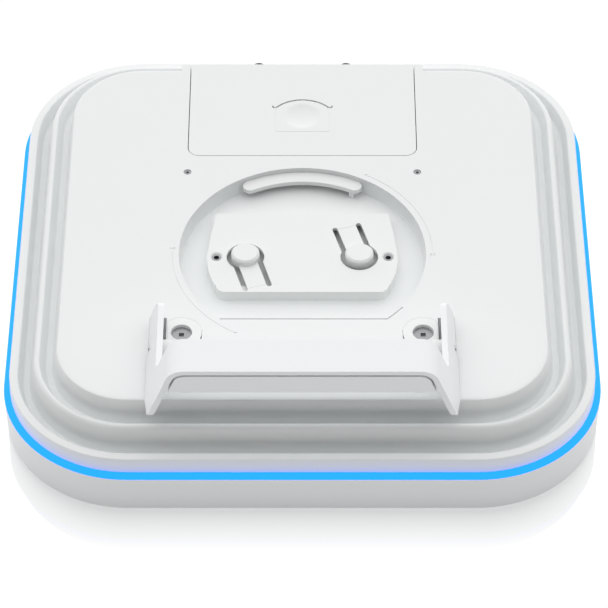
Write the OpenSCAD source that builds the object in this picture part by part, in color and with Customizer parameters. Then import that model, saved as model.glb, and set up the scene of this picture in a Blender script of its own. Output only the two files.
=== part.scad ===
// Ceiling access point, lying on its radome with its mounting back up.
// Millimetres. Z = 0 is the radome's face, +Z points to the mounting side, the yoke is at -Y.

/* [Body] */
// Width of the body, left to right
body_w = 356; // [300:1:430]
// Depth of the body, yoke side to cover side
body_d = 356; // [300:1:430]
// Height of the body, radome face to back deck
body_h = 60; // [50:0.5:72]
// Corner radius of the body's outer edge
corner_r = 76; // [64:1:92]
// Wall thickness of the moulded shells
wall = 2.5; // [2:0.1:3]

/* [Stepped edge] */
// How far the radome's top edge lies below the deck
radome_drop = 33; // [30:0.5:36]
// How far the light ring leans in over its height
light_inset = 3.8; // [3:0.1:5]
// Height of the light ring's sloping face
light_rise = 2.5; // [2:0.1:4]
// Inset of the lower rim's inner edge
rim1_inset = 9.2; // [8:0.1:10]
// Drop of the lower rim below the deck
rim1_drop = 19.9; // [18:0.1:21]
// Inset of the lower groove
groove1_inset = 11.8; // [11:0.1:13]
// Drop of the lower groove's floor
groove1_drop = 28.1; // [23:0.1:30]
// Inset of the upper rim's inner edge
rim2_inset = 22.8; // [22:0.1:24]
// Drop of the upper rim below the deck
rim2_drop = 8.9; // [8:0.1:10]
// Inset of the upper groove
groove2_inset = 25.7; // [25:0.1:27]
// Drop of the upper groove's floor
groove2_drop = 16.5; // [12:0.1:17.5]
// Width of each groove's floor
groove_w = 3.8; // [3:0.1:4.5]
// Inset of the deck's edge
deck_inset = 35.5; // [35:0.1:40]

/* [Mounting recess] */
// Radius of the twist-lock recess
recess_r = 75; // [66:1:90]
// Depth of the recess below the deck
recess_depth = 10.85; // [9:0.05:12]
// Distance of the recess centre from the body's centre, towards the yoke
recess_offset = 22.9; // [18:0.1:30]
// Distance from the recess centre to its straight front edge
recess_front = 55.75; // [46:0.25:62]
// Radius of the raised hub
hub_r = 58; // [54:0.5:62]
// Height of the hub above the recess floor
hub_h = 7.05; // [6:0.05:8]
// Distance from the recess centre to the hub's straight front
hub_front = 30.2; // [29:0.2:36]
// Distance from the recess centre to the hub's straight back
hub_back = 37.9; // [30:0.1:40]
// Radial width of the retaining lip
lip_w = 8.9; // [6:0.1:10]
// Width of the groove that follows the recess's front edge
edge_groove_w = 0.8; // [0.5:0.1:1.2]
// Thickness of the retaining lip
lip_t = 3; // [2:0.1:4]
// Drop of the retaining lip's top below the deck
lip_drop = 3.4; // [2:0.1:4]

/* [Latch buttons and inserts] */
// Distance of each latch button from the recess centre
button_x = 34.6; // [32:0.1:37]
// Diameter of a latch button
button_d = 17.2; // [15:0.1:18.4]
// Diameter of the hole round a latch button
button_hole_d = 23; // [21.5:0.1:25]
// Height of a latch button above the hub
button_rise = 4; // [2:0.1:5]
// Length of the sprung tongue behind a latch button
tongue_l = 26.7; // [22:0.1:27]
// Width of the sprung tongue
tongue_w = 11.7; // [9:0.1:12]
// Width of the slots beside the tongue
slot_w = 3.3; // [2.5:0.1:3.5]
// Turn of the tongues from the fore and aft line, degrees
tongue_turn = 16; // [0:1:20]
// Distance of each threaded insert from the recess centre
insert_x = 52.2; // [49:0.1:53]
// Bore radius of a threaded insert
insert_bore_r = 1.65; // [1.25:0.05:2.1]

/* [Cable cover] */
// Width of the cable cover
cover_w = 142.9; // [110:0.1:150]
// Gap round the cable cover
cover_gap = 0.5; // [0.3:0.1:0.8]
// Corner radius of the cable cover
cover_r = 7; // [4:0.5:10]
// Distance of each cable exit from the middle
exit_x = 28; // [20:0.5:40]
// Bore radius of the cable grommets
exit_bore_r = 3; // [2:0.1:3.5]

/* [Yoke] */
// Distance from the middle to the yoke's outer face, at deck level
yoke_half = 92; // [88:0.5:110]
// Lean of the yoke's sides, sideways per unit of height
yoke_lean = 0.38; // [0.2:0.01:0.45]
// Height of the yoke's crown above the deck
yoke_h = 44.5; // [38:0.5:54]
// Outer radius of the yoke's bends
yoke_r = 11; // [8:0.5:13]
// Thickness of the yoke's sides
yoke_t = 3.4; // [2.6:0.1:4]
// Fore and aft depth of the yoke's arch
yoke_depth = 26; // [22:0.5:32]
// Distance from the pivot forward to the yoke's front face
yoke_reach = 56; // [52:0.5:64]
// Pivot height above the deck
pivot_rise = 5; // [4.5:0.1:6]
// Radius of the pivot pins
pin_r = 2; // [1.5:0.1:2.2]
// Running clearance of the yoke on its pins
pin_gap = 0.05; // [0.02:0.01:0.1]

/* [Hinge feet] */
// Distance of each foot's screw from the middle
foot_x = 71.6; // [66:0.1:71.8]
// Distance of each foot's screw from the edge of the recess
foot_clear = 23.5; // [21:0.5:30]
// Distance from a foot's screw forward to the pivot
foot_reach = 18.5; // [16:0.5:21]
// Radius of a foot's round flange
foot_r = 12.2; // [10:0.1:12.6]
// Radius of a foot's screw head
foot_screw_r = 6.15; // [5:0.05:6.5]

/* [Hidden] */
$fn = 96;
eps = 0.01;
gap = 0.3;
skin = 0.15;

white = "#eef0f0";
metal = "#a8abad";
board_green = "#1f5a3c";

// Levels of the stepped edge, from the radome's face
radome_h = body_h - radome_drop;
light_top = radome_h + light_rise;
rim1_z = body_h - rim1_drop;
groove1_z = body_h - groove1_drop;
rim2_z = body_h - rim2_drop;
groove2_z = body_h - groove2_drop;
deck_under = body_h - wall;

// Recess, hub and what lies under them
recess_y = -recess_offset;
floor_z = body_h - recess_depth;
plate_under = floor_z - wall;
hub_top = floor_z + hub_h;
hub_skin = 2.2;
lip_half_angle = 27.4;
lip_top = body_h - lip_drop;

// Electronics, stacked down from the mounting plate
spreader_t = 1.5;
pad_t = 0.6;
can_h = 3;
board_t = 1.6;
spreader_z = plate_under - 0.35 - spreader_t;
can_z = spreader_z - pad_t - can_h;
board_z = can_z - board_t;
board_w = 210;
board_front = -70;
chassis_t = 2;
chassis_inset = 14;
chassis_z = radome_h - 6.5;
chassis_top = chassis_z + chassis_t;
antenna_w = 230;
antenna_gap = 4;
antenna_z = chassis_z - antenna_gap - board_t;
patch_t = 0.5;
floor_t = 2.8;

// Cable bay
cover_front = recess_y + recess_r + 11.7;
bay_front = cover_front + 9.2;
bay_back = body_d / 2 - 30.1;
bay_floor = board_z + 0.4;
bay_half = cover_w / 2 - 3.45;
cover_back = body_d / 2 - 27.4;
cheek_w = 5.5;
exit_z = body_h - 5.8;
exit_ring_r = exit_bore_r + 1.8;
jack_x = [-30, -8];
jack_w = 16.2;
jack_h = 13.4;
jack_l = 17;
reset_x = 14;
reset_r = 1.9;

// Cover latch
latch_half = 17;
latch_front = cover_front + 22.2;
latch_y = cover_front + 29.2;
latch_r = 22.25;
latch_slit = 1.1;
latch_chord = 15.2;
scoop_r = 12;
scoop_depth = 1.5;
scoop_y = cover_front + 36.8;

// Yoke and hinge
foot_y = recess_y - sqrt(pow(recess_r + foot_clear, 2) - pow(foot_x, 2));
pivot_y = foot_y - foot_reach;
pivot_z = body_h + pivot_rise;
yoke_front = pivot_y - yoke_reach;
yoke_back = yoke_front + yoke_depth;
lean_k = sqrt(1 + yoke_lean * yoke_lean);
side_w = yoke_t * lean_k;
crown_t = 3;
grip_gap = 1.3;
grip_h = 12.9;
tail_l = 27.5;
ear_top = pivot_rise + 14;
ear_low = pivot_rise - 0.5;
ear_foot = pivot_rise - 3.8;
boss_r = 4.2;
knuckle_r = 5.5;
boss_in = yoke_half - yoke_lean * (pivot_rise + boss_r) - side_w - 0.6;
knuckle_out = boss_in - 0.8;
knuckle_in = knuckle_out - 7.6;
pin_out = yoke_half - yoke_lean * ear_low;
pocket_in = yoke_half - yoke_lean * ear_top - side_w - 0.6;
pocket_out = pin_out + 0.4;
pocket_depth = 22;
pocket_back = pivot_y + 30.4;
pocket_front = pivot_y - 7;
foot_t = 2.5;
foot_boss_r = min(8.5, foot_screw_r + 2.2);
foot_boss_depth = 9.5;
foot_screw_sink = 2.2;
foot_screw_head = 2.5;
post_r = 4;
post_hole_r = 1.5;
housing_screw_x = 71.5;
housing_screw_y = recess_y + recess_r - 3.7;

// Section of the stepped rim as inset and height: up its outer skin, back down its inner one
rim_section = [
    [light_inset, light_top], [light_inset + 0.2, rim1_z - 0.9], [light_inset + 0.9, rim1_z],
    [rim1_inset - 0.5, rim1_z], [rim1_inset, rim1_z - 0.4],
    [groove1_inset, groove1_z], [groove1_inset + groove_w, groove1_z],
    [rim2_inset - 3.9, rim2_z - 2.5], [rim2_inset - 3, rim2_z - 0.9], [rim2_inset - 0.9, rim2_z],
    [rim2_inset, rim2_z - 0.5],
    [groove2_inset, groove2_z], [groove2_inset + groove_w + 1.8, groove2_z],
    [groove2_inset + groove_w + 1.8, groove2_z - wall], [groove2_inset - 1.3, groove2_z - wall],
    [rim2_inset - 0.7, rim2_z - 3.5], [rim2_inset - 1.7, rim2_z - 3.9],
    [groove1_inset + groove_w + 2, groove1_z - wall], [groove1_inset - 1.8, groove1_z - wall],
    [rim1_inset - 1.6, rim1_z - 3], [light_inset + wall + 0.1, rim1_z - 3.6],
    [light_inset + wall, light_top]
];
// Section of the deck's skirt, from the upper groove up to the deck and back
deck_section = [
    [groove2_inset + groove_w, groove2_z], [deck_inset - 2.9, body_h - 1.6], [deck_inset - 2, body_h - 0.5],
    [deck_inset, body_h], [deck_inset + 2.5, body_h], [deck_inset + 2.5, deck_under],
    [deck_inset - 0.6, deck_under], [groove2_inset + groove_w + 1.8, groove2_z]
];

// ---- shared shapes ----

// Carries a section, given as inset and height, round the body's rounded square
module sweep_round(section) {
    for (turn = [0:3]) {
        w = turn % 2 == 0 ? body_w : body_d;
        d = turn % 2 == 0 ? body_d : body_w;
        rotate([0, 0, 90 * turn]) {
            translate([0, d / 2 - corner_r, 0])
                rotate([90, 0, 0])
                    linear_extrude(d - 2 * corner_r)
                        polygon([for (p = section) [w / 2 - p[0], p[1]]]);
            translate([w / 2 - corner_r, d / 2 - corner_r, 0])
                rotate_extrude(angle = 90)
                    polygon([for (p = section) [corner_r - p[0], p[1]]]);
        }
    }
}

// Rounded rectangle in plan, from its full sizes
module rounded_plan(w, d, r) {
    square([w - 2 * r, d], center = true);
    square([w, d - 2 * r], center = true);
    for (sx = [-1, 1], sy = [-1, 1])
        translate([sx * (w / 2 - r), sy * (d / 2 - r)])
            circle(r);
}

// The body's own outline moved in by an inset, as a plate
module body_plate(inset, z, t) {
    translate([0, 0, z])
        linear_extrude(t)
            rounded_plan(body_w - 2 * inset, body_d - 2 * inset, corner_r - inset);
}

// Extrudes an outline given in Y and Z, from x0 to x1
module along_x(x0, x1) {
    translate([x0, 0, 0])
        rotate([90, 0, 90])
            linear_extrude(x1 - x0)
                children();
}

// Extrudes an outline given in X and Z, from y0 to y1
module along_y(y0, y1) {
    translate([0, y1, 0])
        rotate([90, 0, 0])
            linear_extrude(y1 - y0)
                children();
}

// Round bar along X
module bar_x(x0, x1, r) {
    translate([x0, 0, 0])
        rotate([0, 90, 0])
            cylinder(r = r, h = x1 - x0);
}

// Box from its two corners
module box(low, high) {
    translate(low)
        cube(high - low);
}

// Both of a pair, the second as the first one's mirror image
module pair() {
    children();
    mirror([1, 0, 0])
        children();
}

// Points along an arc in plan
function arc(cx, cy, r, a0, a1, steps = 6) =
    [for (i = [0:steps]) [cx + r * cos(a0 + (a1 - a0) * i / steps), cy + r * sin(a0 + (a1 - a0) * i / steps)]];

// ---- body shells and light ----

module radome() {
    inner = floor_t;
    color(white)
        difference() {
            union() {
                sweep_round([
                    [0, radome_h], [0.6, 3.4], [1, 1.4], [1.9, 0.3], [3.2, 0], [deck_inset + 2.5, 0],
                    [deck_inset + 2.5, inner], [5.4, inner], [3.9, 4.6], [3.2, radome_h - 6],
                    [6.2, radome_h - 3.6], [6.2, radome_h - 1.2], [2.8, radome_h - 1.2], [2.8, radome_h]
                ]);
                body_plate(deck_inset, 0, inner);
                for (p = chassis_points())
                    translate([p[0], p[1], inner - eps])
                        cylinder(r = 4, h = chassis_z - inner + eps);
            }
            for (p = chassis_points())
                translate([p[0], p[1], chassis_z - 6])
                    cylinder(r = 1.25, h = 7);
        }
}

module body_gasket() {
    color("#3a3c3e")
        sweep_round([
            [2.9, radome_h - 1.2], [6.2, radome_h - 1.2], [6.2, radome_h], [2.9, radome_h]
        ]);
}

module light_ring() {
    color("#2fb0ff")
        sweep_round([
            [0, radome_h], [light_inset, light_top], [light_inset + 3.4, light_top], [light_inset + 3.4, radome_h]
        ]);
}

module light_board() {
    color(board_green)
        sweep_round([
            [light_inset + 3.8, radome_h - 0.5], [chassis_inset + 2, radome_h - 0.5],
            [chassis_inset + 2, radome_h + 0.7], [light_inset + 3.8, radome_h + 0.7]
        ]);
}

module light_leds() {
    leds = 6;
    for (turn = [0:3]) {
        w = turn % 2 == 0 ? body_w : body_d;
        d = turn % 2 == 0 ? body_d : body_w;
        for (i = [0:leds - 1])
            color("#f4f6c8")
                rotate([0, 0, 90 * turn])
                    translate([w / 2 - light_inset - 5.6, (i / (leds - 1) - 0.5) * (d - 2 * corner_r - 10), radome_h + 0.7])
                        translate([0, -1.5, 0])
                            cube([1.6, 3, 1.2]);
    }
}

// ---- rear housing and mounting recess ----

// Plan of the recess, grown outwards by a margin
module recess_plan(grow = 0) {
    intersection() {
        circle(recess_r + grow);
        translate([-2 * recess_r, -recess_front - grow])
            square([4 * recess_r, 4 * recess_r]);
        for (m = [0, 1])
            mirror([m, 0])
                rotate(47)
                    translate([-3 * recess_r, -recess_r + 1.3 - grow])
                        square([6 * recess_r, 4 * recess_r]);
    }
}

module foot_plan(grow = 0) {
    intersection() {
        union() {
            translate([foot_x, foot_y])
                circle(foot_r + grow);
            translate([knuckle_in - grow, pivot_y - knuckle_r - grow])
                square([knuckle_out - knuckle_in + 2 * grow, foot_reach + knuckle_r + grow]);
            translate([foot_x, pivot_y - knuckle_r - grow])
                square([knuckle_out - foot_x, 2 * knuckle_r + 2 * grow]);
        }
        union() {
            translate([0, -body_d])
                square([pocket_in - 0.5 + grow, 2 * body_d]);
            translate([0, pivot_y - knuckle_r - grow])
                square([knuckle_out + grow, 2 * knuckle_r + 2 * grow]);
        }
    }
}

// Outline of the cable cover, grown outwards by a margin, open to the back
module cover_plan(grow = 0) {
    half = cover_w / 2 + grow;
    intersection() {
        translate([0, cover_front - grow + body_d / 2])
            rounded_plan(2 * half, body_d, cover_r + grow);
        translate([-half, 0])
            square([2 * half, cover_back]);
    }
}

// Engraved guide line with its start dot, and two small turned marks at its end
module turn_guide() {
    guide_r = recess_r + 4;
    rotate_extrude(angle = 60)
        translate([guide_r - 0.25, body_h - 0.3])
            square([0.5, 1]);
    rotate([0, 0, 60])
        translate([guide_r, 0, body_h - 0.4])
            cylinder(r = 0.9, h = 1);
    for (s = [-1, 1])
        translate([guide_r + 0.95 * s, -3.2, body_h - 0.4]) {
            cylinder(r = 0.8, h = 1);
            linear_extrude(1)
                polygon([[-0.8, 0], [0.8, 0], [0.25, 2.2], [-0.25, 2.2]]);
        }
}

module housing_rim() {
    color(white)
        difference() {
            sweep_round(rim_section);
            cover_cut();
        }
}

// Space taken out of the housing for the cable cover
module cover_cut() {
    translate([0, 0, groove2_z - wall - 0.1])
        linear_extrude(body_h)
            cover_plan(cover_gap);
}

// Groove in the deck along the recess's front edge and its right-hand corner
module edge_groove() {
    land = 0.5;
    translate([0, recess_y, body_h - 1.1])
        linear_extrude(2)
            difference() {
                recess_plan(land + edge_groove_w);
                recess_plan(land);
                translate([-2 * recess_r, -recess_front + 9])
                    square(4 * recess_r);
                translate([-3 * recess_r - 49, -2 * recess_r])
                    square([3 * recess_r, 4 * recess_r]);
            }
}

module rear_housing() {
    color(white)
        difference() {
            union() {
                sweep_round(deck_section);
                body_plate(deck_inset + 1, deck_under, wall);
                // raised saddle behind the deck, beside the cable cover
                pair()
                    along_x(cover_w / 2 + cover_gap, cover_w / 2 + cover_gap + cheek_w)
                        polygon([
                            [body_d / 2 - deck_inset - 1, groove2_z], [body_d / 2 - deck_inset - 1, body_h],
                            [cover_back - 0.6, body_h], [cover_back + 0.6, body_h - 0.9],
                            [cover_back + 2.6, rim2_z + 0.1], [cover_back + 0.4, rim2_z + 0.1],
                            [cover_back - 1, groove2_z]
                        ]);
                // pads for the hinge feet
                pair()
                    intersection() {
                        translate([foot_x, foot_y, body_h - foot_boss_depth - 5])
                            cylinder(r = foot_r + 0.6, h = foot_boss_depth + 4);
                        translate([0, -body_d, 0])
                            cube([pocket_in - wall, body_d, body_h]);
                    }
            }
            translate([0, recess_y, floor_z - 1])
                linear_extrude(recess_depth + 2)
                    recess_plan();
            cover_cut();
            edge_groove();
            for (turn = [0, 180])
                translate([0, recess_y, 0])
                    rotate([0, 0, turn])
                        turn_guide();
            pair() {
                translate([0, 0, body_h - foot_t])
                    linear_extrude(foot_t + 1)
                        foot_plan();
                translate([foot_x, foot_y, body_h - foot_boss_depth])
                    cylinder(r = foot_boss_r + 0.1, h = foot_boss_depth + 1);
                translate([foot_x, foot_y, body_h - foot_boss_depth - 6])
                    cylinder(r = pin_r + 0.2, h = 8);
                // draft relief beside the foot
                translate([foot_x - foot_r - 0.1, foot_y, body_h - 2])
                    linear_extrude(3) {
                        translate([0.3, -foot_r * 0.62])
                            circle(1.1);
                        polygon([[0.3, -foot_r * 0.7], [1.3, -foot_r * 0.6], [0.4, 1.5], [-0.05, 1.5]]);
                    }
                box([pocket_in, pocket_front, deck_under - 1], [pocket_out, pocket_back, body_h + 1]);
                translate([housing_screw_x, housing_screw_y, body_h - 1.6])
                    cylinder(r = 2.45, h = 3);
                translate([housing_screw_x, housing_screw_y, body_h - 4])
                    cylinder(r = 1.6, h = 4);
            }
        }
}

module recess_wall() {
    color(white)
        translate([0, recess_y, 0]) {
            difference() {
                translate([0, 0, floor_z])
                    linear_extrude(deck_under - floor_z)
                        recess_plan(wall);
                translate([0, 0, floor_z - 1])
                    linear_extrude(recess_depth + 2)
                        recess_plan();
            }
            // cove at the foot of the wall
            intersection() {
                rotate_extrude()
                    polygon([[recess_r + 0.5, floor_z], [recess_r + 0.5, floor_z + 3.4], [recess_r, floor_z + 3.4], [recess_r - 1.4, floor_z]]);
                translate([0, 0, floor_z])
                    linear_extrude(4)
                        recess_plan(0.4);
            }
        }
}

// Tub below the deck that the yoke's tail swings down into
module tail_tub() {
    low = body_h - pocket_depth - wall;
    color(white)
        difference() {
            box([pocket_in - wall, pocket_front - wall, low], [pocket_out + wall, pocket_back + wall, deck_under]);
            box([pocket_in, pocket_front, low + wall], [pocket_out, pocket_back, body_h]);
            translate([foot_x, foot_y, body_h - foot_boss_depth - 0.5])
                cylinder(r = foot_boss_r + 0.1, h = foot_boss_depth);
        }
}

module right_tail_tub() {
    tail_tub();
}

module left_tail_tub() {
    mirror([1, 0, 0])
        tail_tub();
}

module mounting_plate() {
    color(white)
        translate([0, recess_y, plate_under])
            linear_extrude(wall)
                recess_plan(wall);
}

module hub_plan(grow = 0) {
    corner = 6;
    side = sqrt(pow(hub_r, 2) - pow(hub_front, 2));
    intersection() {
        union() {
            intersection() {
                circle(hub_r + grow);
                translate([-hub_r - 1, -hub_front - grow])
                    square([2 * hub_r + 2, hub_front + grow + eps]);
            }
            polygon([
                [-hub_r - grow, 0], [hub_r + grow, 0], [hub_r - 2.3 + grow, 21], [hub_r - 5.2 + grow, hub_back + grow],
                [-hub_r + 5.2 - grow, hub_back + grow], [-hub_r + 2.3 - grow, 21]
            ]);
        }
        union() {
            translate([0, corner - hub_front - grow + hub_r])
                square([3 * hub_r, 2 * hub_r], center = true);
            translate([0, -hub_front + corner / 2])
                square([2 * (side - corner * 0.55 + grow), corner + 2 * grow + eps], center = true);
            for (m = [-1, 1])
                translate([m * (side - corner * 0.55 + grow), -hub_front + corner - grow])
                    circle(corner);
        }
    }
}

// Places a shape in the frame of a latch button: origin at the button, tongue along -Y
module at_button(turn) {
    translate([0, recess_y, 0])
        rotate([0, 0, turn])
            translate([-button_x, 0, 0])
                rotate([0, 0, tongue_turn])
                    children();
}

module mount_hub() {
    color(white)
        difference() {
            translate([0, recess_y, floor_z])
                linear_extrude(hub_h)
                    hub_plan();
            translate([0, recess_y, floor_z - 1])
                linear_extrude(hub_h + 1 - hub_skin)
                    difference() {
                        hub_plan(-2.2);
                        for (m = [-1, 1])
                            translate([m * insert_x, 0])
                                circle(5.4);
                    }
            for (turn = [0, 180])
                at_button(turn)
                    translate([0, 0, hub_top - hub_skin - 1]) {
                        cylinder(d = button_hole_d, h = hub_skin + 2);
                        linear_extrude(hub_skin + 2) {
                            translate([-tongue_w / 2 - slot_w, -tongue_l])
                                square([tongue_w + 2 * slot_w, tongue_l]);
                            for (m = [-1, 1])
                                translate([m * (tongue_w + slot_w) / 2, -tongue_l])
                                    circle(d = slot_w);
                        }
                    }
            for (m = [-1, 1])
                translate([m * insert_x, recess_y, 0]) {
                    translate([0, 0, floor_z - 1])
                        cylinder(r = insert_bore_r + 1.35, h = hub_h + 2);
                    translate([0, 0, hub_top - 0.8])
                        cylinder(r1 = insert_bore_r + 1.35, r2 = 3.8, h = 0.8 + eps);
                }
        }
}

module threaded_inserts() {
    color(metal)
        for (m = [-1, 1])
            translate([m * insert_x, recess_y, floor_z])
                difference() {
                    cylinder(r = insert_bore_r + 1.35, h = hub_h - 0.8);
                    translate([0, 0, -1])
                        cylinder(r = insert_bore_r, h = hub_h + 2);
                }
}

module retaining_lip() {
    mean_r = recess_r - lip_w / 2;
    color(white)
        translate([0, recess_y, 0])
            difference() {
                union() {
                    rotate([0, 0, 90 - lip_half_angle])
                        rotate_extrude(angle = 2 * lip_half_angle)
                            translate([recess_r - lip_w, lip_top - lip_t])
                                square([lip_w, lip_t]);
                    for (m = [-1, 1])
                        rotate([0, 0, 90 + m * lip_half_angle])
                            translate([mean_r, 0, lip_top - lip_t])
                                cylinder(d = lip_w, h = lip_t);
                    // foot that carries the lip's right end
                    rotate([0, 0, 90 - lip_half_angle])
                        translate([mean_r - lip_w / 2 + 0.6, -1, floor_z])
                            cube([lip_w * 0.72, 3.2, lip_top - lip_t - floor_z + eps]);
                }
                translate([0, 0, floor_z - 1])
                    rotate_extrude()
                        translate([recess_r, 0])
                            square([10, 20]);
            }
}

module latch_button(turn) {
    color(white)
        at_button(turn) {
            translate([-tongue_w / 2, -tongue_l + skin, hub_top - hub_skin])
                cube([tongue_w, tongue_l, hub_skin]);
            difference() {
                union() {
                    translate([0, 0, hub_top - hub_skin])
                        cylinder(d = button_d, h = hub_skin + button_rise - 1.2);
                    translate([0, 0, hub_top + button_rise - 1.2])
                        cylinder(d1 = button_d, d2 = button_d - 2.4, h = 1.2);
                }
                translate([0, 0, hub_top - hub_skin - 1])
                    cylinder(d = button_d - 5, h = hub_skin + button_rise - 1);
            }
        }
}

module left_latch_button() {
    latch_button(0);
}

module right_latch_button() {
    latch_button(180);
}

module housing_screws() {
    color(metal)
        pair()
            translate([housing_screw_x, housing_screw_y, 0])
                difference() {
                    union() {
                        translate([0, 0, body_h - 1.6])
                            cylinder(r = 2.4, h = 1.2);
                        translate([0, 0, body_h - 12])
                            cylinder(r = post_hole_r, h = 10.6);
                    }
                    translate([0, 0, body_h - 1.2])
                        cylinder(r = 1.1, h = 2, $fn = 6);
                }
}

// ---- cable cover and cable bay ----

// Side section of the cover: the flat top and the skirt that leans down behind it
module cover_side() {
    polygon([
        [cover_front - 1, body_h], [cover_back - 0.6, body_h], [cover_back + 0.6, body_h - 0.9],
        [cover_back + 2.6, rim2_z + 0.9], [cover_back + 0.1, rim2_z + 0.9],
        [cover_back - 1.7, deck_under], [cover_front - 1, deck_under]
    ]);
}

// Plan of the finger latch and, with a slit, of the opening round it
module latch_plan(slit = 0, side = 0) {
    intersection() {
        translate([0, latch_y])
            circle(latch_r + slit);
        translate([-body_w / 2, latch_y + latch_chord - eps])
            square([body_w, latch_r]);
    }
    translate([-latch_half - side, latch_front - side])
        square([2 * (latch_half + side), latch_y + latch_chord - latch_front + side + slit * 0.4]);
}

module cable_cover() {
    hook = [[0.5, 0.3], [1.4, 0.5], [1.8, 1.4]];
    color(white)
        difference() {
            intersection() {
                along_x(-cover_w / 2, cover_w / 2)
                    cover_side();
                linear_extrude(body_h + 1)
                    union() {
                        cover_plan();
                        translate([-cover_w / 2, cover_back - 5])
                            square([cover_w, 20]);
                    }
            }
            translate([0, 0, deck_under - 1])
                linear_extrude(wall + 2) {
                    latch_plan(latch_slit, skin);
                    for (m = [-1, 1], p = hook)
                        translate([m * (latch_half + p[0]), latch_y + latch_chord + p[1]])
                            circle(0.6);
                }
            for (m = [-1, 1])
                translate([m * exit_x, 0, 0]) {
                    along_y(cover_back - 4, cover_back + 6)
                        translate([0, exit_z])
                            circle(exit_ring_r + 0.4);
                    box([-exit_ring_r - 0.4, cover_back - 4, rim2_z], [exit_ring_r + 0.4, cover_back + 6, exit_z]);
                }
        }
}

module cover_latch() {
    bowl = (pow(scoop_r, 2) + pow(scoop_depth, 2)) / (2 * scoop_depth);
    color(white)
        difference() {
            union() {
                translate([0, 0, deck_under])
                    linear_extrude(wall)
                        latch_plan();
                // hook below the tab
                box([-8, latch_y + latch_r - 4.5, deck_under - 8], [8, latch_y + latch_r - 2.5, deck_under + eps]);
            }
            translate([0, scoop_y, body_h - scoop_depth + bowl])
                sphere(bowl, $fn = 180);
        }
}

module cable_bay() {
    rim = 7;
    color("#d9dbdc")
        difference() {
            union() {
                box([-cover_w / 2 - cover_gap + 0.05, bay_front - wall, bay_floor - wall],
                    [cover_w / 2 + cover_gap - 0.05, bay_back + wall, rim2_z + 0.4]);
                box([-bay_half - wall, bay_front - wall, bay_floor - wall], [bay_half + wall, bay_back - 8, deck_under - 1]);
                box([-cover_w / 2 - rim, cover_front - rim, deck_under - 3], [cover_w / 2 + rim, bay_back - 9, deck_under - 1]);
            }
            box([-bay_half, bay_front, bay_floor], [bay_half, bay_back, body_h]);
            box([-bay_half - wall - 1, bay_back - 9, rim2_z + 0.4], [bay_half + wall + 1, bay_back + 10, body_h]);
            for (m = [-1, 1])
                box([m * exit_x - exit_ring_r, bay_back - 1, exit_z - exit_ring_r],
                    [m * exit_x + exit_ring_r, bay_back + 10, body_h]);
            for (x = jack_x)
                box([x - jack_w / 2 - 0.1, bay_front - jack_l - 1, can_z - 0.1],
                    [x + jack_w / 2 + 0.1, bay_front + 1, can_z + jack_h + 0.1]);
            translate([reset_x, bay_front + 1, can_z + 5])
                rotate([90, 0, 0])
                    cylinder(r = reset_r + 0.3, h = wall + 2);
        }
    // rib that the cover's latch closes against
    color("#d9dbdc")
        box([-12, latch_y + latch_r + 2.5, bay_floor - eps], [12, latch_y + latch_r + 5, deck_under - 4]);
}

module bay_gasket() {
    color("#3a3c3e")
        difference() {
            box([-cover_w / 2 - 6, cover_front - 6, deck_under - 1], [cover_w / 2 + 6, bay_back - 9, deck_under]);
            box([-bay_half, bay_front, deck_under - 2], [bay_half, bay_back, deck_under + 1]);
        }
}

module cable_grommets() {
    color("#3a3c3e")
        for (m = [-1, 1])
            translate([m * exit_x, 0, 0])
                difference() {
                    union() {
                        along_y(cover_back - 2.5, cover_back + 2)
                            translate([0, exit_z])
                                circle(exit_ring_r);
                        box([-exit_ring_r, cover_back - 2.5, exit_z - exit_ring_r], [exit_ring_r, cover_back - 0.1, exit_z]);
                    }
                    along_y(cover_back - 4, cover_back + 4)
                        translate([0, exit_z])
                            circle(exit_bore_r);
                }
}

module data_jacks() {
    color("#26282a")
        for (x = jack_x)
            difference() {
                box([x - jack_w / 2, bay_front - jack_l, can_z], [x + jack_w / 2, bay_front + 0.3, can_z + jack_h]);
                box([x - 5.9, bay_front - 12, can_z + 3.2], [x + 5.9, bay_front + 2, can_z + 10.2]);
                box([x - 3.2, bay_front - 12, can_z + 1.6], [x + 3.2, bay_front + 2, can_z + 4]);
            }
}

module jack_contacts() {
    pins = 8;
    color("#d8b65a")
        for (x = jack_x, i = [0:pins - 1])
            translate([x + (i - (pins - 1) / 2) * 1.02 - 0.2, bay_front - 11, can_z + 9.4])
                cube([0.4, 8, 0.8]);
}

module reset_button() {
    color("#26282a")
        translate([reset_x, bay_front - 0.4, can_z + 5])
            rotate([90, 0, 0])
                difference() {
                    cylinder(r = reset_r, h = 6);
                    translate([0, 0, -1])
                        cylinder(r = 0.9, h = 1.6);
                }
}

// ---- inside the body ----

// Places of the screws that hold the chassis plate on the radome's posts
function chassis_points() =
    [for (sx = [-1, 0, 1], sy = [-1, 0, 1]) if (sx != 0 || sy != 0) [sx * (body_w / 2 - 38), sy * (body_d / 2 - 38)]];

// Places of the main board's screws
function board_points() = [for (sx = [-1, 1], sy = [-1, 1]) [sx * (board_w / 2 - 6), sy * 60]];

module chassis_plate() {
    color("#b9bcbe")
        difference() {
            union() {
                body_plate(chassis_inset, chassis_z, chassis_t);
                sweep_round([
                    [chassis_inset, chassis_z], [chassis_inset + 2, chassis_z],
                    [chassis_inset + 2, radome_h - 0.5], [chassis_inset, radome_h - 0.5]
                ]);
            }
            for (p = chassis_points())
                translate([p[0], p[1], chassis_z - 1])
                    cylinder(r = 1.6, h = chassis_t + 2);
        }
}

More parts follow.
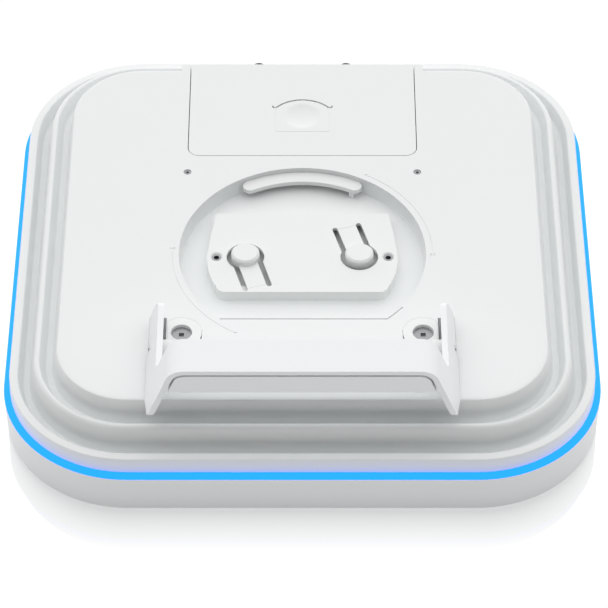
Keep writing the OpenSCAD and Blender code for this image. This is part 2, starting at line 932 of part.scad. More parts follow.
module chassis_screws() {
    color(metal)
        for (p = chassis_points())
            translate([p[0], p[1], 0])
                difference() {
                    union() {
                        translate([0, 0, chassis_z - 5])
                            cylinder(r = 1.25, h = chassis_t + 5);
                        translate([0, 0, chassis_top])
                            cylinder(r = 2.8, h = 1.6);
                    }
                    translate([0, 0, chassis_top + 0.8])
                        cylinder(r = 1.2, h = 1, $fn = 6);
                }
}

module frame_posts() {
    color("#b9bcbe")
        pair() {
            translate([housing_screw_x, housing_screw_y, chassis_top])
                difference() {
                    cylinder(r = post_r, h = deck_under - chassis_top);
                    translate([0, 0, deck_under - chassis_top - 10])
                        cylinder(r = post_hole_r, h = 11);
                }
            translate([foot_x, foot_y, chassis_top])
                difference() {
                    cylinder(r = post_r + 0.8, h = body_h - foot_boss_depth - 5 - chassis_top);
                    translate([0, 0, body_h - foot_boss_depth - 15 - chassis_top])
                        cylinder(r = pin_r, h = 11);
                }
        }
}

module board_standoffs() {
    color(metal)
        for (p = board_points())
            translate([p[0], p[1], chassis_top])
                difference() {
                    cylinder(r = 3, h = board_z - chassis_top);
                    translate([0, 0, board_z - chassis_top - 8])
                        cylinder(r = 1.25, h = 9);
                }
}

module board_screws() {
    color(metal)
        for (p = board_points())
            translate([p[0], p[1], 0])
                difference() {
                    union() {
                        translate([0, 0, board_z - 6])
                            cylinder(r = 1.25, h = board_t + 6);
                        translate([0, 0, can_z])
                            cylinder(r = 2.7, h = 1.8);
                    }
                    translate([0, 0, can_z + 1])
                        cylinder(r = 1.1, h = 1, $fn = 6);
                }
}

module main_board() {
    color(board_green)
        difference() {
            box([-board_w / 2, board_front, board_z], [board_w / 2, bay_front - wall - 0.3, can_z]);
            for (p = board_points())
                translate([p[0], p[1], board_z - 1])
                    cylinder(r = 1.6, h = board_t + 2);
            pair()
                translate([housing_screw_x, housing_screw_y, board_z - 1])
                    cylinder(r = post_r + 1, h = board_t + 2);
        }
}

// Places and sizes of the shield cans: x, y, width, depth
function can_layout() = [[-58, 20, 44, 40], [0, 24, 40, 36], [52, 22, 38, 38], [-34, -36, 60, 44], [38, -36, 56, 44]];

module shield_cans() {
    color("#c9ccce")
        for (c = can_layout())
            translate([c[0], c[1], can_z])
                difference() {
                    translate([-c[2] / 2, -c[3] / 2, 0])
                        cube([c[2], c[3], can_h]);
                    translate([-c[2] / 2 + 0.4, -c[3] / 2 + 0.4, -1])
                        cube([c[2] - 0.8, c[3] - 0.8, can_h + 0.6]);
                }
}

module thermal_pads() {
    color("#8fa8c4")
        for (c = can_layout())
            translate([c[0], c[1], can_z + can_h + pad_t / 2])
                cube([c[2] - 8, c[3] - 8, pad_t], center = true);
}

module heat_spreader() {
    color("#b9bcbe")
        difference() {
            box([-88, board_front + 2, spreader_z], [88, 46, spreader_z + spreader_t]);
            pair()
                translate([housing_screw_x, housing_screw_y, spreader_z - 1])
                    cylinder(r = post_r + 1, h = spreader_t + 2);
        }
}

module antenna_board() {
    color(board_green)
        translate([0, 0, antenna_z + board_t / 2])
            cube([antenna_w, antenna_w, board_t], center = true);
}

module antenna_patches() {
    pitch = antenna_w / 4;
    color("#d08a4a")
        for (ix = [-1.5:1.5], iy = [-1.5:1.5])
            translate([ix * pitch, iy * pitch, antenna_z - patch_t / 2])
                cube([pitch * 0.62, pitch * 0.62, patch_t], center = true);
}

module antenna_standoffs() {
    color("#e8e8e4")
        for (ix = [-1:1], iy = [-1:1])
            translate([ix * (antenna_w / 2 - 10), iy * (antenna_w / 2 - 10), antenna_z + board_t])
                cylinder(r = 3, h = antenna_gap);
}

// ---- hinge feet and yoke ----

module hinge_foot() {
    color(white)
        difference() {
            union() {
                translate([0, 0, body_h - foot_t])
                    linear_extrude(foot_t)
                        foot_plan();
                translate([foot_x, foot_y, body_h - foot_boss_depth])
                    cylinder(r = foot_boss_r, h = foot_boss_depth - eps);
                box([knuckle_in, pivot_y - knuckle_r, body_h - foot_t], [knuckle_out, pivot_y + knuckle_r, pivot_z]);
                translate([0, pivot_y, pivot_z])
                    bar_x(knuckle_in, knuckle_out, knuckle_r);
            }
            translate([foot_x, foot_y, body_h - foot_screw_sink - foot_screw_head])
                cylinder(r = foot_screw_r + 0.1, h = foot_boss_depth);
            translate([foot_x, foot_y, 0])
                cylinder(r = pin_r + 0.2, h = body_h);
            translate([0, pivot_y, pivot_z])
                bar_x(knuckle_in + 1.5, knuckle_out + 1, pin_r);
        }
}

module right_hinge_foot() {
    hinge_foot();
}

module left_hinge_foot() {
    mirror([1, 0, 0])
        hinge_foot();
}

module hinge_screws() {
    head_low = body_h - foot_screw_sink - foot_screw_head;
    color(metal)
        pair()
            translate([foot_x, foot_y, 0])
                difference() {
                    union() {
                        translate([0, 0, head_low])
                            cylinder(r = foot_screw_r, h = foot_screw_head);
                        translate([0, 0, body_h - foot_boss_depth - 12])
                            cylinder(r = pin_r, h = foot_boss_depth + 12 - foot_screw_sink - 1);
                    }
                    translate([-1.5, -1.5, head_low + 0.8])
                        cube([3, 3, 4]);
                }
}

module pivot_pins() {
    color(metal)
        pair()
            translate([0, pivot_y, pivot_z])
                bar_x(knuckle_in + 1.5, pin_out, pin_r);
}

module pivot_washers() {
    color(metal)
        pair()
            translate([0, pivot_y, pivot_z])
                difference() {
                    bar_x(knuckle_out, knuckle_out + 0.5, boss_r);
                    bar_x(knuckle_out - 1, knuckle_out + 2, pin_r);
                }
}

// Solid outline of the arch seen from the front, in X and height above the deck
module arch_plan(half, top, r, base) {
    cz = top - r;
    cx = half - yoke_lean * cz - r * lean_k;
    tx = cx + r / lean_k;
    tz = cz + r * yoke_lean / lean_k;
    foot = half - yoke_lean * base;
    polygon([[-foot, base], [-tx, tz], [-cx, top], [cx, top], [tx, tz], [foot, base]]);
    for (m = [-1, 1])
        translate([m * cx, cz])
            circle(r);
}

// The yoke seen from the side, in distance from the pivot and height above the deck
module yoke_side() {
    front = -yoke_reach;
    back = -yoke_reach + yoke_depth;
    fillet = 5;
    polygon(concat(
        [[front, yoke_h + 1], [front, 12]],
        arc(front + 9, 12, 9, 180, 218, 4),
        [[front + 9, 4.4], [front + 18, ear_foot], [-6, ear_foot], [-2.5, ear_low]],
        arc(tail_l - 4.5, ear_low + 4.5, 4.5, -90, 0),
        arc(tail_l - 6.5, ear_top - 6.5, 6.5, 0, 90),
        arc(back + fillet, ear_top + fillet, fillet, -90, -180),
        [[back, yoke_h + 1]]
    ));
}

module yoke_arch() {
    color(white)
        translate([0, 0, body_h])
            difference() {
                union() {
                    intersection() {
                        along_y(pivot_y - 80, pivot_y + 60)
                            difference() {
                                arch_plan(yoke_half, yoke_h, yoke_r, -2);
                                arch_plan(yoke_half - side_w, yoke_h - crown_t, yoke_r - crown_t, -3);
                            }
                        translate([0, pivot_y, 0])
                            along_x(-120, 120)
                                yoke_side();
                    }
                    // bosses that run on the pins
                    intersection() {
                        pair()
                            translate([0, pivot_y, pivot_rise])
                                bar_x(boss_in, pin_out, boss_r);
                        along_y(pivot_y - 20, pivot_y + 20)
                            arch_plan(yoke_half, yoke_h, yoke_r, -2);
                    }
                }
                pair()
                    translate([0, pivot_y, pivot_rise])
                        bar_x(boss_in - 5, yoke_half + 10, pin_r + pin_gap);
            }
}

module yoke_grip() {
    low = yoke_h - crown_t - grip_gap - grip_h;
    groove = 6;
    hollow = 2.2;
    color(white)
        translate([0, 0, body_h])
            difference() {
                union() {
                    along_y(yoke_front, yoke_back)
                        grip_plan(grip_gap, low);
                    along_y(yoke_front + groove, yoke_back)
                        grip_plan(0, low);
                }
                along_y(yoke_front + hollow, yoke_back - hollow)
                    grip_plan(grip_gap + hollow, low - 1);
            }
}

// Section of the grip, moved in from the arch's inner face
module grip_plan(inset, low) {
    arch_plan(yoke_half - side_w - inset * lean_k, yoke_h - crown_t - inset, yoke_r - crown_t - inset * 0.9, low);
}

radome();
body_gasket();
light_ring();
light_board();
light_leds();
housing_rim();
rear_housing();
recess_wall();
left_tail_tub();
right_tail_tub();
mounting_plate();
mount_hub();
retaining_lip();
threaded_inserts();
left_latch_button();
right_latch_button();
housing_screws();
cable_cover();
cover_latch();
cable_bay();
bay_gasket();
cable_grommets();
data_jacks();
jack_contacts();
reset_button();
chassis_plate();
chassis_screws();
frame_posts();
board_standoffs();
board_screws();
main_board();
shield_cans();
thermal_pads();
heat_spreader();
antenna_board();
antenna_patches();
antenna_standoffs();
left_hinge_foot();
right_hinge_foot();
hinge_screws();
pivot_pins();
pivot_washers();
yoke_arch();
yoke_grip();
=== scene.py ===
import bpy
import math
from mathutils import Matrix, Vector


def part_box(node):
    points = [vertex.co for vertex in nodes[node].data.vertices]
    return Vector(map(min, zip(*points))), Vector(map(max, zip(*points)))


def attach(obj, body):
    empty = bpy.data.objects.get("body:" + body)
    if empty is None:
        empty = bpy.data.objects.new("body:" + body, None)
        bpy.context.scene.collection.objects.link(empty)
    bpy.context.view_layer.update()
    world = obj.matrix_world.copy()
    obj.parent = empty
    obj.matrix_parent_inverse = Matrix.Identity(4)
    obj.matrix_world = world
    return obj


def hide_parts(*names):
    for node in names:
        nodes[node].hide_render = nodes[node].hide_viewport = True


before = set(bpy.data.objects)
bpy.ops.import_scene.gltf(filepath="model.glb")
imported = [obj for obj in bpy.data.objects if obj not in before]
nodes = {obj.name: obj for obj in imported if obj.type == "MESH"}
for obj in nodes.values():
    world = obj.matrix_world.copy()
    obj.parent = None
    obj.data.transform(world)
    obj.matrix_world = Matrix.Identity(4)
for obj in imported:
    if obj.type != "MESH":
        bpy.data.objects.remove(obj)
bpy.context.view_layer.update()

mm = 0.001

# ---- Studio ----
# A white table in a white studio that is brightest above and behind the body. The table is lit from within,
# so that it stays white, and is polished just round the body, where it gives a soft mirror image that fades.


def linear(hex_colour):
    """An sRGB hex colour as linear RGBA."""
    parts = [int(hex_colour[i:i + 2], 16) / 255 for i in (1, 3, 5)]
    return [p / 12.92 if p <= 0.04045 else ((p + 0.055) / 1.055) ** 2.4 for p in parts] + [1.0]


def add_node(tree, kind, settings=None, **inputs):
    """Adds a shader node with its settings. An input, by name or place, takes a value or another socket."""
    made = tree.nodes.new(kind)
    for key, value in (settings or {}).items():
        setattr(made, key, value)
    for key, value in inputs.items():
        by_place = key[0] == "i" and key[1:].isdigit()
        socket = made.inputs[int(key[1:])] if by_place else made.inputs[key.replace("_", " ")]
        if isinstance(value, bpy.types.NodeSocket):
            tree.links.new(value, socket)
        else:
            socket.default_value = value
    return made


def new_material(name):
    """An empty node material, its tree and its output node."""
    material = bpy.data.materials.new(name)
    material.use_nodes = True
    material.node_tree.nodes.clear()
    return material, material.node_tree, add_node(material.node_tree, "ShaderNodeOutputMaterial")


body_low, body_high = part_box("radome")
body_w = body_high.x - body_low.x
corner_r = 76 * mm
deck_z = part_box("rear_housing")[1].z

lens_length = 189.9
camera_back = 1413.5 * mm
camera_above_deck = 1362 * mm
camera_aside = 1 * mm
camera_tilt = 44.67
camera_data = bpy.data.cameras.new("camera")
camera_data.sensor_width = 36
camera_data.lens = lens_length
camera = bpy.data.objects.new("camera", camera_data)
camera.location = (camera_aside, -camera_back, camera_above_deck + deck_z)
camera.rotation_euler = (math.radians(camera_tilt), 0, 0)
bpy.context.scene.collection.objects.link(camera)
bpy.context.scene.camera = camera

table_glow = 1.04
mirror_share = 0.72
mirror_reach = 33 * mm
mirror_blur = 0.05
tuck_under = 4 * mm
table_w = 12
table_drop = 0.2 * mm
table_material, tree, out = new_material("polished_white_table")
place = add_node(tree, "ShaderNodeTexCoord").outputs["Object"]
folded = add_node(tree, "ShaderNodeVectorMath", {"operation": "ABSOLUTE"}, i0=place)
straight = body_w / 2 - corner_r
past = add_node(tree, "ShaderNodeVectorMath", {"operation": "SUBTRACT"},
                i0=folded.outputs[0], i1=(straight, straight, 1))
outside = add_node(tree, "ShaderNodeVectorMath", {"operation": "MAXIMUM"}, i0=past.outputs[0], i1=(0, 0, 0))
reach = add_node(tree, "ShaderNodeVectorMath", {"operation": "LENGTH"}, i0=outside.outputs[0])
fade = add_node(tree, "ShaderNodeMapRange", Value=reach.outputs["Value"],
                From_Min=corner_r - tuck_under, From_Max=corner_r + mirror_reach,
                To_Min=mirror_share, To_Max=0.0)
glow = add_node(tree, "ShaderNodeEmission", Color=(1, 1, 1, 1), Strength=table_glow)
mirror = add_node(tree, "ShaderNodeBsdfGlossy", Color=(1, 1, 1, 1), Roughness=mirror_blur)
mixed = add_node(tree, "ShaderNodeMixShader", Fac=fade.outputs[0], i1=glow.outputs[0], i2=mirror.outputs[0])
tree.links.new(mixed.outputs[0], out.inputs["Surface"])
bpy.ops.object.select_all(action="DESELECT")
bpy.ops.mesh.primitive_plane_add(size=table_w, location=(0, 0, -table_drop))
table = bpy.context.object
table.name = "studio_table"
bpy.ops.object.transform_apply(location=True, rotation=True, scale=True)
table.data.materials.append(table_material)

studio_low = 0.10
studio_high = 1.30
brightest = (0, 0.6, 0.8)
bright_span = 0.62
world = bpy.data.worlds.new("studio")
bpy.context.scene.world = world
world.use_nodes = True
tree = world.node_tree
background = tree.nodes["Background"]
toward = add_node(tree, "ShaderNodeTexCoord").outputs["Generated"]
lean = add_node(tree, "ShaderNodeVectorMath", {"operation": "DOT_PRODUCT"}, i0=toward, i1=brightest)
shade = add_node(tree, "ShaderNodeMapRange", {"interpolation_type": "SMOOTHSTEP"},
                 Value=lean.outputs["Value"], From_Min=0.0, From_Max=bright_span,
                 To_Min=studio_low, To_Max=studio_high)
tree.links.new(shade.outputs[0], background.inputs["Strength"])
background.inputs["Color"].default_value = (1, 1, 1, 1)
bpy.context.scene.view_settings.view_transform = "Standard"

# ---- Radome ----
# The front shell, a shallow square dish of glass-free polycarbonate that radio waves pass through. It is
# injection moulded in one shot, satin white with a very fine sparked texture, and carries everything else.


def moulded(name, colour, roughness=0.45, grain=0.9, sheen=0.35):
    """Injection-moulded plastic: a fine sparked grain, drawn coarser than the real 0.1 mm so that it shows,
    and long faint flow clouds that vary the gloss."""
    material, tree, out = new_material(name)
    place = add_node(tree, "ShaderNodeTexCoord").outputs["Object"]
    spark = add_node(tree, "ShaderNodeTexNoise", Vector=place, Scale=1 / (grain * mm),
                     Detail=2.0, Roughness=0.6)
    flow = add_node(tree, "ShaderNodeTexNoise", Vector=place, Scale=1 / (60 * mm),
                    Detail=3.0, Roughness=0.55)
    tint = add_node(tree, "ShaderNodeMix", {"data_type": "RGBA"}, i0=flow.outputs["Fac"],
                    i6=[c * 0.985 for c in linear(colour)[:3]] + [1.0], i7=linear(colour))
    gloss = add_node(tree, "ShaderNodeMapRange", Value=flow.outputs["Fac"],
                     To_Min=roughness - 0.05, To_Max=roughness + 0.05)
    bump = add_node(tree, "ShaderNodeBump", Height=spark.outputs["Fac"], Strength=0.05, Distance=0.03 * mm)
    shader = add_node(tree, "ShaderNodeBsdfPrincipled", Base_Color=tint.outputs[2],
                      Roughness=gloss.outputs[0], Normal=bump.outputs[0])
    shader.inputs["IOR"].default_value = 1.5
    shader.inputs["Specular IOR Level"].default_value = sheen
    tree.links.new(shader.outputs[0], out.inputs["Surface"])
    return material


def rounded_square(name, inset, z, facing=1):
    """Starts a piece as a flat face with the body's rounded outline, moved in and facing up or down."""
    side = body_w - 2 * inset * mm
    bpy.ops.object.select_all(action="DESELECT")
    turn = 0 if facing > 0 else math.pi
    bpy.ops.mesh.primitive_plane_add(size=side, location=(0, 0, z * mm), rotation=(turn, 0, 0))
    piece = bpy.context.object
    piece.name = piece.data.name = name
    bpy.ops.object.transform_apply(location=True, rotation=True, scale=True)
    bpy.ops.object.mode_set(mode="EDIT")
    bpy.ops.mesh.select_all(action="SELECT")
    bpy.ops.mesh.bevel(affect="VERTICES", offset=corner_r - inset * mm, segments=22, profile=0.5)
    bpy.ops.mesh.select_mode(type="FACE")
    bpy.ops.mesh.select_all(action="SELECT")
    return piece


def step_in(section, facing=1):
    """Carries the selected face through a section, given as inset and height in millimetres."""
    for (inset, z), (next_inset, next_z) in zip(section, section[1:]):
        bpy.ops.mesh.inset(thickness=(next_inset - inset) * mm, depth=(next_z - z) * facing * mm)


def modify(piece, kind, **settings):
    """Adds a modifier with its settings and applies it."""
    bpy.ops.object.select_all(action="DESELECT")
    piece.select_set(True)
    bpy.context.view_layer.objects.active = piece
    bpy.ops.object.modifier_add(type=kind)
    modifier = piece.modifiers[-1]
    for key, value in settings.items():
        setattr(modifier, key, value)
    bpy.ops.object.modifier_apply(modifier=modifier.name)


def finish_piece(piece, body, slot, material, *replaced, soften=0.4, angle=25):
    """Softens a piece's edges, smooths it, dresses it and puts it in place of CAD nodes."""
    if soften:
        modify(piece, "BEVEL", width=soften * mm, segments=3, limit_method="ANGLE",
               angle_limit=math.radians(angle))
    bpy.ops.object.select_all(action="DESELECT")
    piece.select_set(True)
    bpy.context.view_layer.objects.active = piece
    bpy.ops.object.shade_smooth_by_angle(angle=math.radians(32))
    modify(piece, "WEIGHTED_NORMAL", keep_sharp=True, weight=60)
    piece.data.materials.clear()
    piece.data.materials.append(material)
    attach(piece, body)
    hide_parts(*replaced)


def dress(material, *names):
    """Gives CAD nodes their finish."""
    for name in names:
        nodes[name].data.materials.clear()
        nodes[name].data.materials.append(material)


radome_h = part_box("radome")[1].z / mm
radome_white = moulded("moulded_polycarbonate_white", "#EEF0F1")
radome_section = [
    (0, radome_h), (0.6, 3.4), (1, 1.4), (1.4, 0.7), (2, 0.2), (3.2, 0)
]
radome = rounded_square("radome_shell", 0, radome_h, facing=-1)
step_in(radome_section, facing=-1)
bpy.ops.object.mode_set(mode="OBJECT")
modify(radome, "SOLIDIFY", thickness=2.8 * mm, offset=-1, use_even_offset=True)
finish_piece(radome, "body", "radome_white", radome_white, "radome", soften=0.25, angle=50)

# ---- Light ring ----
# A clear acrylic light guide that shows as a thin sloping band between the radome and the rim. Light-emitting
# diodes behind it fill it with blue light, which spills a little onto the white rim above.

ring_low, ring_high = (corner.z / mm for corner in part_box("light_ring"))
ring_glow, tree, out = new_material("acrylic_light_guide_blue")
place = add_node(tree, "ShaderNodeTexCoord").outputs["Object"]
diode_pitch = 34 * mm
spots = add_node(tree, "ShaderNodeTexNoise", Vector=place, Scale=1 / diode_pitch, Detail=1.0)
glow_level = add_node(tree, "ShaderNodeMapRange", Value=spots.outputs["Fac"], To_Min=0.94, To_Max=1.06)
hue = add_node(tree, "ShaderNodeMix", {"data_type": "RGBA"}, i0=glow_level.outputs[0],
               i6=(0.003, 0.135, 1, 1), i7=(0.006, 0.145, 1, 1))
shader = add_node(tree, "ShaderNodeBsdfPrincipled", Base_Color=linear("#0B3A63"), Roughness=0.35,
                  Emission_Color=hue.outputs[2], Emission_Strength=3.0)
shader.inputs["Specular IOR Level"].default_value = 0.1
tree.links.new(shader.outputs[0], out.inputs["Surface"])
ring_inset = 3.8
ring_back = 7.2
light_ring = rounded_square("light_guide", 0, ring_low)
step_in([(0, ring_low), (0.5, ring_low + 0.5), (ring_inset, ring_high),
         (ring_back, ring_high), (ring_back, ring_low)])
bpy.ops.mesh.delete(type="ONLY_FACE")
bpy.ops.mesh.select_mode(type="EDGE")
bpy.ops.mesh.select_all(action="DESELECT")
bpy.ops.mesh.select_non_manifold(use_wire=False, use_boundary=True, use_multi_face=False,
                                 use_non_contiguous=False, use_verts=False)
bpy.ops.mesh.bridge_edge_loops()
bpy.ops.object.mode_set(mode="OBJECT")
finish_piece(light_ring, "body", "light_blue", ring_glow, "light_ring", soften=0)

# ---- Stepped rim ----
# The outer moulding of the back: two rounded steps with a groove inside each, so the body looks thinner than
# it is. White polycarbonate, moulded in one piece.

rim_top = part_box("housing_rim")[1].z / mm
housing_white = moulded("moulded_housing_white", "#EDEFEF")
deck = deck_z / mm
lower_rim = deck - 19.9
lower_groove = deck - 28.1
upper_groove = deck - 16.5
rim_section = [
    (ring_inset, ring_high), (4.0, lower_rim - 0.9), (4.3, lower_rim - 0.3), (4.8, lower_rim),
    (8.6, lower_rim), (9.2, lower_rim - 0.4), (11.5, lower_groove + 0.4),
    (12.1, lower_groove), (15.2, lower_groove), (15.9, lower_groove + 0.6), (18.8, rim_top - 2.7),
    (19.3, rim_top - 1.4), (20.2, rim_top - 0.4), (21.2, rim_top), (22.0, rim_top - 0.1),
    (22.8, rim_top - 0.7),
    (25.5, upper_groove + 0.4), (26.1, upper_groove), (31.3, upper_groove)
]
rim = rounded_square("stepped_rim", rim_section[0][0], rim_section[0][1])
step_in(rim_section)
bpy.ops.mesh.delete(type="FACE")
bpy.ops.object.mode_set(mode="OBJECT")
modify(rim, "SOLIDIFY", thickness=2.2 * mm, offset=-1, use_even_offset=True)


def cut_away(piece, low, high):
    """Cuts a box, given by its two corners, out of a piece."""
    bpy.ops.object.select_all(action="DESELECT")
    middle = [(a + b) / 2 for a, b in zip(low, high)]
    bpy.ops.mesh.primitive_cube_add(size=1, location=middle, scale=[b - a for a, b in zip(low, high)])
    cutter = bpy.context.object
    bpy.ops.object.transform_apply(location=True, rotation=True, scale=True)
    modify(piece, "BOOLEAN", operation="DIFFERENCE", object=cutter, solver="EXACT")
    bpy.data.objects.remove(cutter, do_unlink=True)


cover_low, cover_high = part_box("cable_cover")
cover_gap = 0.5 * mm
cut_away(rim, (cover_low.x - cover_gap, 0, upper_groove * mm - 3 * mm),
         (cover_high.x + cover_gap, cover_high.y - 2.6 * mm, deck_z))
finish_piece(rim, "body", "housing_white", housing_white, "housing_rim", soften=0)

# ---- Back deck and mounting recess ----
# The flat back moulding with its round twist-lock recess, the pads and tubs for the yoke's hinges and the
# saddle round the cable cover. The turning guides are engraved by the mould.


def clean_copy(node_name, name):
    """A copy of a CAD node as one clean mesh: doubles merged and flat faces joined."""
    bpy.ops.object.select_all(action="DESELECT")
    piece = bpy.data.objects.new(name, nodes[node_name].data.copy())
    bpy.context.scene.collection.objects.link(piece)
    piece.data.name = name
    piece.select_set(True)
    bpy.context.view_layer.objects.active = piece
    bpy.ops.object.mode_set(mode="EDIT")
    bpy.ops.mesh.select_all(action="SELECT")
    bpy.ops.mesh.remove_doubles(threshold=0.005 * mm)
    bpy.ops.mesh.dissolve_limited(angle_limit=math.radians(0.6))
    bpy.ops.mesh.customdata_custom_splitnormals_clear()
    bpy.ops.object.mode_set(mode="OBJECT")
    return piece


def bevel_edges(piece, width, chosen, segments=3):
    """Rounds the edges of a piece that a test picks by their two ends, given in millimetres."""
    bpy.ops.object.select_all(action="DESELECT")
    piece.select_set(True)
    bpy.context.view_layer.objects.active = piece
    bpy.ops.object.mode_set(mode="EDIT")
    bpy.ops.mesh.select_mode(type="EDGE")
    bpy.ops.mesh.select_all(action="DESELECT")
    bpy.ops.object.mode_set(mode="OBJECT")
    points = [vertex.co / mm for vertex in piece.data.vertices]
    for edge in piece.data.edges:
        a, b = (points[i] for i in edge.vertices)
        edge.select = chosen(a, b)
    bpy.ops.object.mode_set(mode="EDIT")
    bpy.ops.mesh.bevel(offset=width * mm, segments=segments, affect="EDGES", clamp_overlap=True)
    bpy.ops.object.mode_set(mode="OBJECT")


back_deck = clean_copy("rear_housing", "back_deck")
finish_piece(back_deck, "body", "housing_white", housing_white, "rear_housing", soften=0)
recess = clean_copy("recess_wall", "recess_side")
finish_piece(recess, "body", "housing_white", housing_white, "recess_wall", soften=0)
dress(housing_white, "mounting_plate", "left_tail_tub", "right_tail_tub")

# ---- Hub ----
# The raised plate in the middle of the recess, with its two sprung latch buttons, the lip behind it and
# the threaded inserts. Moulded in a slightly smoother, tougher white than the housing.

hub_white = moulded("moulded_hub_white", "#EEF0EF", roughness=0.4, grain=1.2, sheen=0.4)
hub = clean_copy("mount_hub", "hub_plate")
finish_piece(hub, "body", "hub_white", hub_white, "mount_hub", soften=0.3, angle=50)
lip = clean_copy("retaining_lip", "twist_lock_lip")
finish_piece(lip, "body", "hub_white", hub_white, "retaining_lip", soften=0.8, angle=50)
button_round = 1.1

for side in ("left", "right"):
    node_name = side + "_latch_button"
    button = clean_copy(node_name, side + "_sprung_button")
    low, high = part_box(node_name)
    top = high.z / mm
    bevel_edges(button, button_round, lambda a, b: min(a.z, b.z) > top - 1.3, segments=4)
    finish_piece(button, side + "_button", "hub_white", hub_white, node_name, soften=0.2, angle=50)

# ---- Metals ----
# The bare metal: plated steel screws and posts, turned inserts, ground pins, the rolled aluminium chassis
# and spreader, tinned shield cans, gold-plated contacts and bare copper antenna patches.


def metal(name, colour, roughness=0.35, line=0.4, stretch=(1, 1, 1)):
    """Bare metal with the fine lines of its making, drawn coarser than real so that they show."""
    material, tree, out = new_material(name)
    place = add_node(tree, "ShaderNodeTexCoord").outputs["Object"]
    along = add_node(tree, "ShaderNodeMapping", Vector=place, Scale=stretch)
    lines = add_node(tree, "ShaderNodeTexNoise", Vector=along.outputs[0], Scale=1 / (line * mm), Detail=3.0)
    gloss = add_node(tree, "ShaderNodeMapRange", Value=lines.outputs["Fac"],
                     To_Min=roughness - 0.07, To_Max=roughness + 0.07)
    bump = add_node(tree, "ShaderNodeBump", Height=lines.outputs["Fac"], Strength=0.08, Distance=0.02 * mm)
    shader = add_node(tree, "ShaderNodeBsdfPrincipled", Base_Color=linear(colour), Metallic=1.0,
                      Roughness=gloss.outputs[0], Normal=bump.outputs[0])
    tree.links.new(shader.outputs[0], out.inputs["Surface"])
    return material


zinc_steel = metal("zinc_plated_steel", "#A0A1A3", roughness=0.4)
insert_steel = metal("turned_steel_inserts", "#9C9DA0", roughness=0.34, line=0.25, stretch=(1, 1, 6))
dress(zinc_steel, "housing_screws", "hinge_screws", "chassis_screws", "board_screws")
dress(zinc_steel, "board_standoffs", "frame_posts")
dress(insert_steel, "threaded_inserts")
dress(metal("ground_steel_pins", "#B9BABC", roughness=0.25, stretch=(0.1, 1, 1)), "pivot_pins")
rolled_aluminium = metal("rolled_aluminium", "#BFC1C3", roughness=0.42, stretch=(0.04, 1, 1))
dress(rolled_aluminium, "chassis_plate", "heat_spreader")
dress(metal("tinned_steel_cans", "#C6C7C8", roughness=0.3, line=3.0), "shield_cans")
dress(metal("gold_plated_contacts", "#D9B45A", roughness=0.22), "jack_contacts")
dress(metal("bare_copper_patches", "#CE8558", roughness=0.3, line=0.8), "antenna_patches")

# ---- Boards ----
# Glass-fibre circuit boards under a coat of solder resist: green for the main and antenna boards, white for
# the narrow board of the light-emitting diodes. Thin copper tracks show as slightly lighter or darker lines.


def solder_resist(name, colour, track_colour, block=16):
    """A glossy lacquer over copper tracks, a tenth of a block apart."""
    material, tree, out = new_material(name)
    place = add_node(tree, "ShaderNodeTexCoord").outputs["Object"]
    tracks = add_node(tree, "ShaderNodeTexBrick", {"offset": 0.5}, Vector=place, Scale=1 / (block * mm),
                      Color1=linear(colour), Color2=linear(colour), Mortar=linear(track_colour),
                      Mortar_Size=0.012, Brick_Width=1.0, Row_Height=0.1)
    weave = add_node(tree, "ShaderNodeTexNoise", Vector=place, Scale=1 / (0.5 * mm), Detail=1.0)
    bump = add_node(tree, "ShaderNodeBump", Height=weave.outputs["Fac"], Strength=0.04, Distance=0.02 * mm)
    shader = add_node(tree, "ShaderNodeBsdfPrincipled", Base_Color=tracks.outputs["Color"], Roughness=0.3,
                      Normal=bump.outputs[0])
    shader.inputs["Coat Weight"].default_value = 0.3
    shader.inputs["Coat Roughness"].default_value = 0.15
    tree.links.new(shader.outputs[0], out.inputs["Surface"])
    return material


dress(solder_resist("solder_resist_green", "#144D33", "#2C7350"), "main_board", "antenna_board")
dress(solder_resist("solder_resist_white", "#E6E8E6", "#D2D4D0"), "light_board")
dress(moulded("diode_lens_epoxy", "#F0F0D0", roughness=0.15, sheen=0.5), "light_leds")
dress(moulded("natural_nylon", "#E8E6DD", roughness=0.5, grain=1.5), "antenna_standoffs", "pivot_washers")

# ---- Seals and pads ----
# Soft parts: the moulded silicone gaskets and cable grommets, near black and dead matt, and the pale blue gap
# pads between the shield cans and the heat spreader.


def rubber(name, colour, roughness=0.8):
    """Moulded silicone rubber: matt, with a dusty bloom that shows as soft clouds."""
    material, tree, out = new_material(name)
    place = add_node(tree, "ShaderNodeTexCoord").outputs["Object"]
    bloom = add_node(tree, "ShaderNodeTexNoise", Vector=place, Scale=1 / (9 * mm), Detail=3.0)
    tint = add_node(tree, "ShaderNodeMix", {"data_type": "RGBA"}, i0=bloom.outputs["Fac"],
                    i6=linear(colour), i7=[min(1, c * 1.25) for c in linear(colour)[:3]] + [1.0])
    shader = add_node(tree, "ShaderNodeBsdfPrincipled", Base_Color=tint.outputs[2], Roughness=roughness)
    shader.inputs["Specular IOR Level"].default_value = 0.25
    shader.inputs["Sheen Weight"].default_value = 0.1
    tree.links.new(shader.outputs[0], out.inputs["Surface"])
    return material


dress(rubber("silicone_seal_grey", "#35373A"), "body_gasket", "bay_gasket", "cable_grommets")
dress(rubber("thermal_gap_pad", "#7C9CBE", roughness=0.65), "thermal_pads")

# ---- Cable bay ----
# The moulded well that the network cables plug into, with its two sockets and the reset button. The cable
# cover closes it, so it is left in the cheaper light grey plastic of the inside.

dress(moulded("moulded_bay_grey", "#C9CBCC", roughness=0.55), "cable_bay", "reset_button")
dress(moulded("moulded_jack_black", "#1B1C1E", roughness=0.4), "data_jacks")

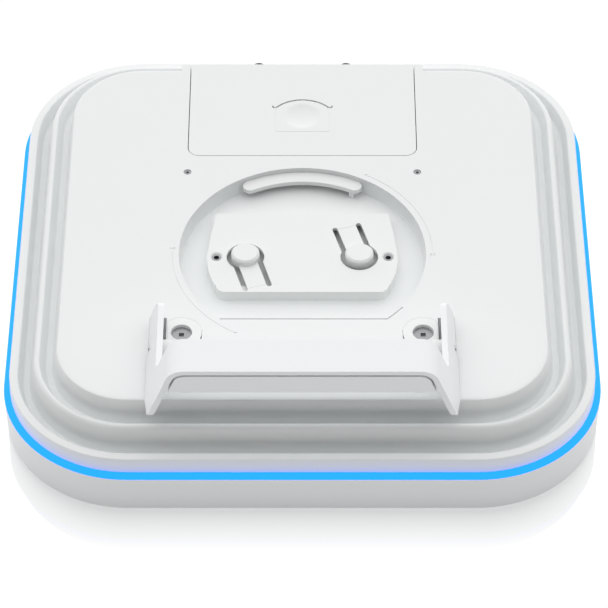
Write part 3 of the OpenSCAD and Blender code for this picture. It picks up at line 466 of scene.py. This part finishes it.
# ---- Cable cover and its latch ----
# A shallow lid with a sprung tongue in it, moulded in the housing's white. A thumb presses the tongue and the
# lid lifts off. The gap round the tongue is closed to a hairline at its root, where the real one is one piece.


def push(piece, chosen, amount):
    """Moves the points of a piece that a test picks, by an amount in millimetres."""
    bpy.ops.object.select_all(action="DESELECT")
    piece.select_set(True)
    bpy.context.view_layer.objects.active = piece
    bpy.ops.object.mode_set(mode="EDIT")
    bpy.ops.mesh.select_mode(type="VERT")
    bpy.ops.mesh.select_all(action="DESELECT")
    bpy.ops.object.mode_set(mode="OBJECT")
    for vertex in piece.data.vertices:
        vertex.select = chosen(vertex.co / mm)
    bpy.ops.object.mode_set(mode="EDIT")
    bpy.ops.transform.translate(value=[a * mm for a in amount])
    bpy.ops.object.mode_set(mode="OBJECT")


hairline = 0.15
cover_white = moulded("moulded_cover_white", "#EDEFEF")
cover = clean_copy("cable_cover", "bay_cover")
finish_piece(cover, "cover", "cover_white", cover_white, "cable_cover", soften=0.3, angle=50)
latch = clean_copy("cover_latch", "cover_tongue")
latch_low, latch_high = (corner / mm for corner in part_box("cover_latch"))
push(latch, lambda p: abs(p.y - latch_high.y) < 0.05, (0, hairline, 0))
push(latch, lambda p: abs(p.x - latch_high.x) < 0.05, (hairline, 0, 0))
push(latch, lambda p: abs(p.x - latch_low.x) < 0.05, (-hairline, 0, 0))
finish_piece(latch, "latch", "cover_white", cover_white, "cover_latch", soften=0.15, angle=50)

# ---- Hinge feet ----
# Two small moulded feet, screwed to the deck, that hold the pins the yoke turns on. Glass-filled nylon in the
# body's white, a little glossier than the housing.

foot_white = moulded("moulded_foot_white", "#EEF0EF", roughness=0.38, sheen=0.45)
for side in ("left", "right"):
    node_name = side + "_hinge_foot"
    foot = clean_copy(node_name, side + "_yoke_foot")
    finish_piece(foot, "body", "foot_white", foot_white, node_name, soften=0.35, angle=50)

# ---- Yoke ----
# The tilting handle: one strip of metal bent to a flat arch, with its ears at the hinges and a deeper grip
# across the front. It is powder coated white, which rounds its edges and leaves a faint orange peel.


def powder_coat(name, colour, peel=1.4):
    """Satin powder coat: soft orange peel, 1.4 mm from crest to crest."""
    material, tree, out = new_material(name)
    place = add_node(tree, "ShaderNodeTexCoord").outputs["Object"]
    waves = add_node(tree, "ShaderNodeTexNoise", Vector=place, Scale=1 / (peel * mm), Detail=1.0)
    bump = add_node(tree, "ShaderNodeBump", Height=waves.outputs["Fac"], Strength=0.05, Distance=0.05 * mm)
    shader = add_node(tree, "ShaderNodeBsdfPrincipled", Base_Color=linear(colour), Roughness=0.42,
                      Normal=bump.outputs[0])
    shader.inputs["Coat Weight"].default_value = 0.15
    shader.inputs["Coat Roughness"].default_value = 0.35
    tree.links.new(shader.outputs[0], out.inputs["Surface"])
    return material


coat_white = powder_coat("powder_coat_white", "#EFF1F2")
arch = clean_copy("yoke_arch", "tilting_arch")
finish_piece(arch, "yoke", "yoke_white", coat_white, "yoke_arch", soften=0.6, angle=50)
grip = clean_copy("yoke_grip", "arch_grip")
finish_piece(grip, "yoke", "yoke_white", coat_white, "yoke_grip", soften=0.5, angle=50)
